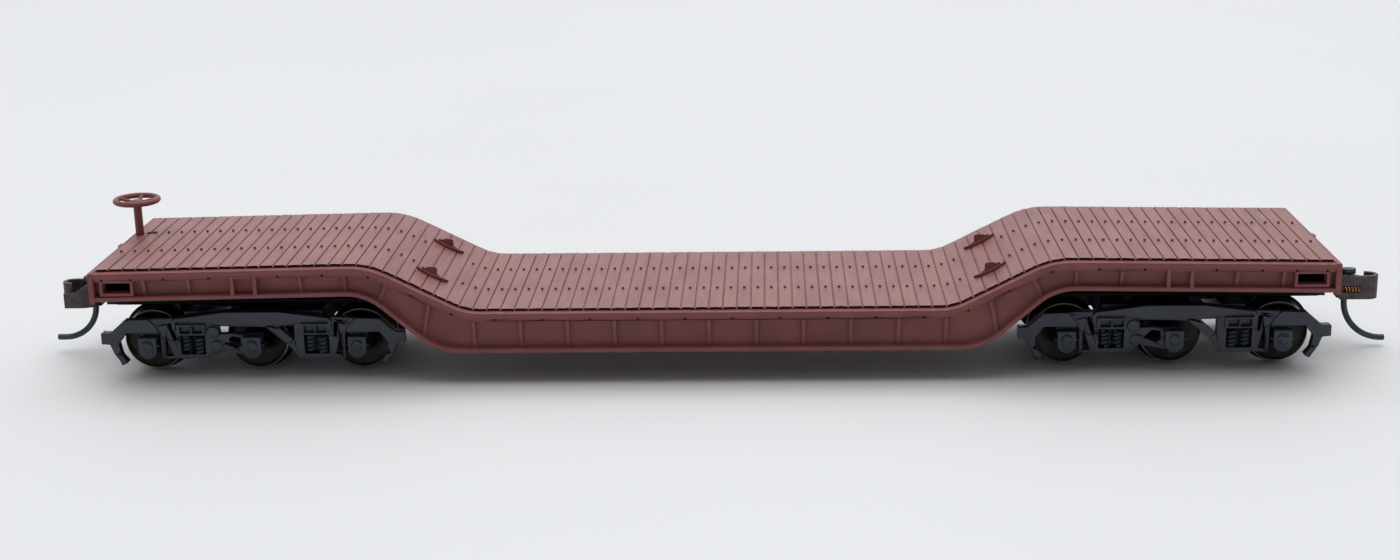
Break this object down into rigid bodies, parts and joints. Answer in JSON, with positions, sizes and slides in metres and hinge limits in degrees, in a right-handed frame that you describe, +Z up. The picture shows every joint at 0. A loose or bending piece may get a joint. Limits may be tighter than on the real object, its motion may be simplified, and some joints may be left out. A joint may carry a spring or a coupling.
{
  "type": "model drop-centre flat wagon",
  "caption": "Small-scale model of a heavy-duty flat wagon with a low well deck between two sloped shoulders, on swivelling six-wheel trucks, with hinged couplers and a brake wheel.",
  "frame": {"origin": "middle of the wagon on the floor plane, under its centre, at the tips of the wheel flanges", "axes": "+X along the wagon away from the brake wheel, +Y across it, +Z up"},
  "size_m": [0.2142, 0.0352, 0.0248],
  "materials": {
    "brown_plastic": "oxide brown moulded styrene, dusty satin",
    "black_plastic": "black moulded styrene",
    "truck_plastic": "blue-black moulded acetal, semi-gloss",
    "wheel_metal": "blackened turned metal with a worn bright tread",
    "steel": "turned steel",
    "coupler_metal": "dark chemically browned casting",
    "bronze": "phosphor bronze wire",
    "black_wire": "blackened steel wire"
  },
  "bodies": {
    "car_body": {"deck": "brown_plastic", "side_sill_near": "brown_plastic", "side_sill_far": "brown_plastic", "end_sill_a": "brown_plastic", "end_sill_b": "brown_plastic", "tie_down_lugs": "brown_plastic", "brake_staff": "brown_plastic", "brake_wheel": "brown_plastic", "underframe": "black_plastic", "coupler_box_a": "black_plastic", "coupler_lid_a": "black_plastic", "truck_screw_a": "steel", "coupler_box_b": "black_plastic", "coupler_lid_b": "black_plastic", "truck_screw_b": "steel"},
    "truck_a": {"truck_a_frame_near": "truck_plastic", "truck_a_frame_far": "truck_plastic", "truck_a_bolster": "truck_plastic", "truck_a_springs": "truck_plastic"},
    "wheelset_a1": {"axle_a1": "steel", "wheels_a1": "wheel_metal"},
    "wheelset_a2": {"axle_a2": "steel", "wheels_a2": "wheel_metal"},
    "wheelset_a3": {"axle_a3": "steel", "wheels_a3": "wheel_metal"},
    "coupler_arm_a": {"coupler_a": "coupler_metal"},
    "coupler_jaw_a": {"knuckle_a": "coupler_metal", "trip_pin_a": "black_wire", "knuckle_spring_a": "bronze"},
    "truck_b": {"truck_b_frame_near": "truck_plastic", "truck_b_frame_far": "truck_plastic", "truck_b_bolster": "truck_plastic", "truck_b_springs": "truck_plastic"},
    "wheelset_b1": {"axle_b1": "steel", "wheels_b1": "wheel_metal"},
    "wheelset_b2": {"axle_b2": "steel", "wheels_b2": "wheel_metal"},
    "wheelset_b3": {"axle_b3": "steel", "wheels_b3": "wheel_metal"},
    "coupler_arm_b": {"coupler_b": "coupler_metal"},
    "coupler_jaw_b": {"knuckle_b": "coupler_metal", "trip_pin_b": "black_wire", "knuckle_spring_b": "bronze"}
  },
  "joints": [
    {"name": "truck_a_swivel", "type": "hinge", "parent": "car_body", "child": "truck_a", "pos_m": [-0.0713, 0, 0.01135], "axis": [0, 0, 1], "range_deg": [-9, 9]},
    {"name": "wheelset_a1_turn", "type": "hinge", "parent": "truck_a", "child": "wheelset_a1", "pos_m": [-0.08775, 0, 0.00545], "axis": [0, 1, 0], "continuous": true},
    {"name": "wheelset_a2_turn", "type": "hinge", "parent": "truck_a", "child": "wheelset_a2", "pos_m": [-0.0713, 0, 0.00545], "axis": [0, 1, 0], "continuous": true},
    {"name": "wheelset_a3_turn", "type": "hinge", "parent": "truck_a", "child": "wheelset_a3", "pos_m": [-0.05485, 0, 0.00545], "axis": [0, 1, 0], "continuous": true},
    {"name": "coupler_a_swing", "type": "hinge", "parent": "car_body", "child": "coupler_arm_a", "pos_m": [-0.088, 0, 0.0101], "axis": [0, 0, 1], "range_deg": [-10, 10], "stiffness_Nm_per_rad": 0.0001},
    {"name": "knuckle_a_open", "type": "hinge", "parent": "coupler_arm_a", "child": "coupler_jaw_a", "pos_m": [-0.1004, 0.0007, 0.0101], "axis": [0, 0, -1], "range_deg": [0, 15], "stiffness_Nm_per_rad": 0.00002, "springref_deg": -17.19},
    {"name": "truck_b_swivel", "type": "hinge", "parent": "car_body", "child": "truck_b", "pos_m": [0.0713, 0, 0.01135], "axis": [0, 0, 1], "range_deg": [-9, 9]},
    {"name": "wheelset_b1_turn", "type": "hinge", "parent": "truck_b", "child": "wheelset_b1", "pos_m": [0.05485, 0, 0.00545], "axis": [0, 1, 0], "continuous": true},
    {"name": "wheelset_b2_turn", "type": "hinge", "parent": "truck_b", "child": "wheelset_b2", "pos_m": [0.0713, 0, 0.00545], "axis": [0, 1, 0], "continuous": true},
    {"name": "wheelset_b3_turn", "type": "hinge", "parent": "truck_b", "child": "wheelset_b3", "pos_m": [0.08775, 0, 0.00545], "axis": [0, 1, 0], "continuous": true},
    {"name": "coupler_b_swing", "type": "hinge", "parent": "car_body", "child": "coupler_arm_b", "pos_m": [0.088, 0, 0.0101], "axis": [0, 0, 1], "range_deg": [-10, 10], "stiffness_Nm_per_rad": 0.0001},
    {"name": "knuckle_b_open", "type": "hinge", "parent": "coupler_arm_b", "child": "coupler_jaw_b", "pos_m": [0.1004, -0.0007, 0.0101], "axis": [0, 0, -1], "range_deg": [0, 15], "stiffness_Nm_per_rad": 0.00002, "springref_deg": -17.19}
  ]
}
